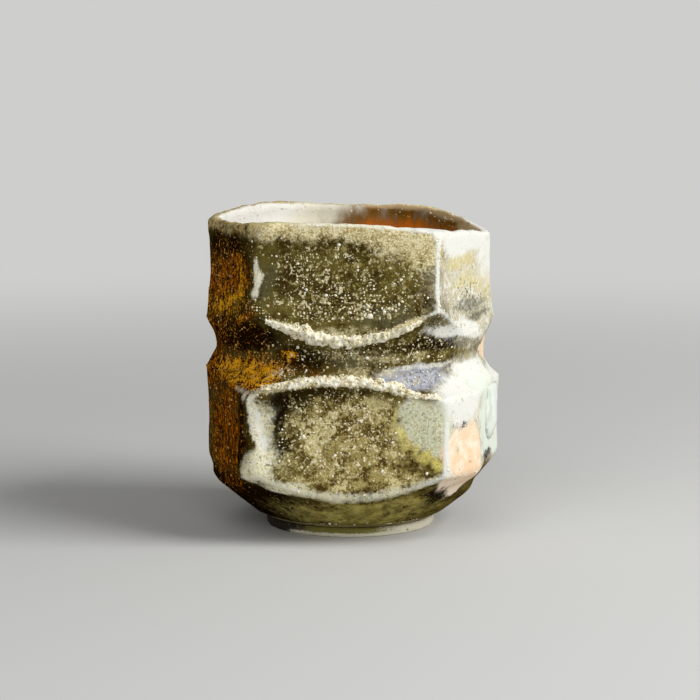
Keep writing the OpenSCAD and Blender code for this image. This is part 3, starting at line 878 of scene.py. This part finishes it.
def grainMaterial():
    shade = Shade(bpy.data.materials.new("feldspar"))
    tones = tonesOf(grainSet)
    fine = shade.clouds(0.3, 3)
    colour = shade.mix(shade.paint("shadeOf"), tones["milk"], tones["straw"])
    colour = shade.mix(shade.smooth(shade.paint("goldOf"), 0.3, 0.8), colour, tones["gold"])
    colour = shade.mix(shade.smooth(fine, 0.55, 0.75) * 0.4, colour, tones["straw"])
    return shade.finish(colour, 0.25 + fine * 0.3, fine, 0.06, coat=0.5)


random.seed(grainSet["seed"])
grains = bmesh.new()
grainPaint = []
batch = bmesh.new()


# small batches keep this quick
def closeBatch():
    bundle = bpy.data.meshes.new("bundle")
    batch.to_mesh(bundle)
    grains.from_mesh(bundle)
    bpy.data.meshes.remove(bundle)
    batch.clear()


def addGrain(place, out, radius, detail, gold, straw=1.0):
    spin = out.to_track_quat("Z", "Y").to_matrix() @ Euler((0, 0, random.uniform(0, grainSet["spin"]))).to_matrix()
    wide, long = random.uniform(*grainSet["uneven"]), random.uniform(*grainSet["uneven"])
    size = Matrix.Diagonal((radius * wide, radius * long, radius * grainSet["flat"]))
    made = bmesh.ops.create_icosphere(batch, subdivisions=detail, radius=1)["verts"]
    shadeOf = random.random() ** 1.5 * straw
    for vert in made:
        bend = 1 + grainSet["bend"] * roughness(vert.co * mm + place, grainSet["bendSize"], 71.0, 2)
        vert.co = place + spin @ (size @ (vert.co * bend))
        grainPaint.append((shadeOf, gold))
    if len(batch.verts) > grainSet["batch"]:
        closeBatch()


islands = looseCopy("feldspar_grains")
left = dict.fromkeys(islands.verts)  # keeps their order, so each run is the same
while left:
    first = next(iter(left))
    del left[first]
    reach, island = [first], []
    while reach:
        vert = reach.pop()
        island.append(vert)
        near = [other for other in (edge.other_vert(vert) for edge in vert.link_edges) if other in left]
        for other in near:
            del left[other]
        reach += near
    middle = sum((v.co for v in island), Vector()) / len(island)
    radius = max((v.co - middle).length for v in island)
    setIn = radius * grainSet["setIn"]
    front = Vector((0, -1, 0))
    addGrain(middle + Vector((0, setIn, 0)), front, radius * grainSet["large"], 2, 0, 0.2)
    for _ in range(grainSet["chips"]):
        aside = Vector((random.gauss(0, radius), setIn, random.gauss(0, radius)))
        addGrain(middle + aside, front, radius * random.uniform(*grainSet["chipSize"]), 1, 0, 0.5)
closeBatch()
islands.free()

coatMesh = ashCoat.data
spotTurnOuter, spotHeightOuter = turnOf(np.array([vert.co for vert in coatMesh.vertices]))
weights = ashPaint["ash"] * (1 - np.clip(ashPaint["still"], 0, 1))
weights = weights + grainSet["edgeShare"] * edgeLine * facing + grainSet["besideShare"] * beside
weights += grainSet["trailShare"] * ovals(spotTurnOuter, spotHeightOuter, grainSet["trail"])
patches = [max(0, roughness(vert.co, grainSet["patchSize"], 81.0)) for vert in coatMesh.vertices]
weights *= grainSet["patch"] + np.array(patches)
weights = np.maximum(weights * (1 - grainSet["sheenShare"] * ashPaint["sheen"]), 0)
order = random.choices(range(len(weights)), weights=list(weights), k=grainSet["count"])
for index in order:
    vert = coatMesh.vertices[index]
    radius = random.uniform(*grainSet["small"]) * random.choice(grainSet["sizes"]) * mm
    addGrain(vert.co.copy(), vert.normal.copy(), radius, 1, float(ashPaint["left"][index]))
closeBatch()
grainPiece = keepPiece("feldspar", grains, "feldspar_grains", grainMaterial())
grainPaint = np.array(grainPaint)
storePaint(grainPiece, {"shadeOf": grainPaint[:, 0], "goldOf": grainPaint[:, 1]})
print("grains", len(grainPiece.data.polygons), "faces")

# plain pale floor and soft studio light
stageSet = {"floor": (206, 206, 204), "size": 40.0, "fade": (0.06, 0.55), "ambient": 0.3, "aim": (0, 0, 0.035),
            "key": {"turn": 66, "rise": 38, "away": 0.75, "size": 0.45, "watts": 5.6},
            "fill": {"turn": -14, "rise": 35, "away": 1.0, "size": 0.9, "watts": 3.5}}


def aimedLight(name, place):
    lamp = bpy.data.lights.new(name, "AREA")
    lamp.energy = place["watts"]
    lamp.size = place["size"]
    light = bpy.data.objects.new(name, lamp)
    bpy.context.scene.collection.objects.link(light)
    lightTurn, rise = math.radians(place["turn"]), math.radians(place["rise"])
    way = Vector((math.sin(lightTurn) * math.cos(rise), -math.cos(lightTurn) * math.cos(rise), math.sin(rise)))
    light.location = Vector(stageSet["aim"]) + way * place["away"]
    light.rotation_euler = way.to_track_quat("Z", "Y").to_euler()


aimedLight("key", stageSet["key"])
aimedLight("fill", stageSet["fill"])
ground = bmesh.new()
bmesh.ops.create_grid(ground, x_segments=2, y_segments=2, size=stageSet["size"] / 2)
groundMesh = bpy.data.meshes.new("floor")
ground.to_mesh(groundMesh)
ground.free()
floor = bpy.data.objects.new("floor", groundMesh)
bpy.context.scene.collection.objects.link(floor)
floorShade = Shade(bpy.data.materials.new("pale floor"))
floorTone = tone(*stageSet["floor"])
# seen directly or in a gloss, the floor fades to one even tone far from the cup
distance = floorShade.node("ShaderNodeVectorMath", {"operation": "LENGTH"}, {0: floorShade.where}, out="Value")
rays = floorShade.node("ShaderNodeLightPath", out="Is Camera Ray")
rays = rays + floorShade.node("ShaderNodeLightPath", out="Is Glossy Ray")
near = floorShade.node("ShaderNodeBsdfDiffuse", {}, {"Color": floorTone})
far = floorShade.node("ShaderNodeEmission", {}, {"Color": floorTone})
faded = floorShade.smooth(distance, *stageSet["fade"]) * rays
both = floorShade.node("ShaderNodeMixShader", {}, {0: faded, 1: near, 2: far})
floorShade.node("ShaderNodeOutputMaterial", {}, {"Surface": both})
groundMesh.materials.append(floorShade.owner)
sky = Shade(bpy.data.worlds.new("studio"))
seen = sky.node("ShaderNodeLightPath", out="Is Camera Ray")
backing = sky.node("ShaderNodeBackground", {}, {
    "Color": floorTone, "Strength": seen.maths("MAXIMUM", seen, stageSet["ambient"])})
sky.node("ShaderNodeOutputWorld", {}, {"Surface": backing})
bpy.context.scene.world = sky.owner
bpy.context.scene.view_settings.view_transform = "Standard"
print("stage set")
